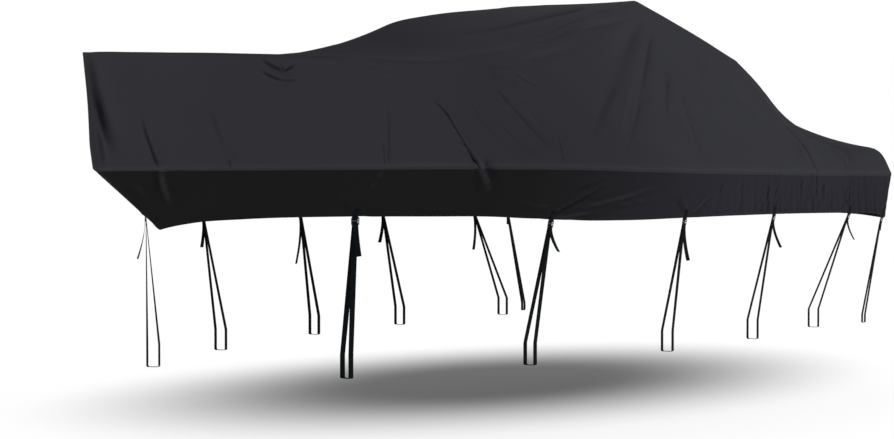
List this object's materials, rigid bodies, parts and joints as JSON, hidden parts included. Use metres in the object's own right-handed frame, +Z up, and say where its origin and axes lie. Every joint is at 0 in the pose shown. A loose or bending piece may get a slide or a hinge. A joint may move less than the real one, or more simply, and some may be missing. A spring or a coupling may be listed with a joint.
{
  "type": "boat cover",
  "caption": "Fitted cloth cover for a small open boat: deck panel sewn to a side skirt, held down by webbing straps with plastic sliders that loop round the trailer's beams.",
  "frame": {"origin": "underside of the cloth on the centreline over the console, where the boat carries the cover", "axes": "+X towards the bow, +Y to port, +Z up"},
  "size_m": [5.2692, 2.254, 1.5862],
  "materials": {
    "cloth": "matt coated polyester, charcoal",
    "webbing": "woven polypropylene webbing, black",
    "slider_plastic": "moulded, satin black"
  },
  "bodies": {
    "root": {"deck_panel": "cloth", "side_skirt": "cloth", "tab_port_1": "webbing", "tab_port_2": "webbing", "tab_port_3": "webbing", "tab_port_4": "webbing", "tab_port_5": "webbing", "tab_port_6": "webbing", "tab_starboard_1": "webbing", "tab_starboard_2": "webbing", "tab_starboard_3": "webbing", "tab_starboard_4": "webbing", "tab_starboard_5": "webbing", "tab_starboard_6": "webbing", "slider_port_1": "slider_plastic", "slider_port_2": "slider_plastic", "slider_port_3": "slider_plastic", "slider_port_4": "slider_plastic", "slider_port_5": "slider_plastic", "slider_port_6": "slider_plastic", "slider_starboard_1": "slider_plastic", "slider_starboard_2": "slider_plastic", "slider_starboard_3": "slider_plastic", "slider_starboard_4": "slider_plastic", "slider_starboard_5": "slider_plastic", "slider_starboard_6": "slider_plastic", "strap_port_1": "webbing", "strap_port_2": "webbing", "strap_port_3": "webbing", "strap_port_4": "webbing", "strap_port_5": "webbing", "strap_port_6": "webbing", "strap_starboard_1": "webbing", "strap_starboard_2": "webbing", "strap_starboard_3": "webbing", "strap_starboard_4": "webbing", "strap_starboard_5": "webbing", "strap_starboard_6": "webbing"}
  },
  "joints": []
}
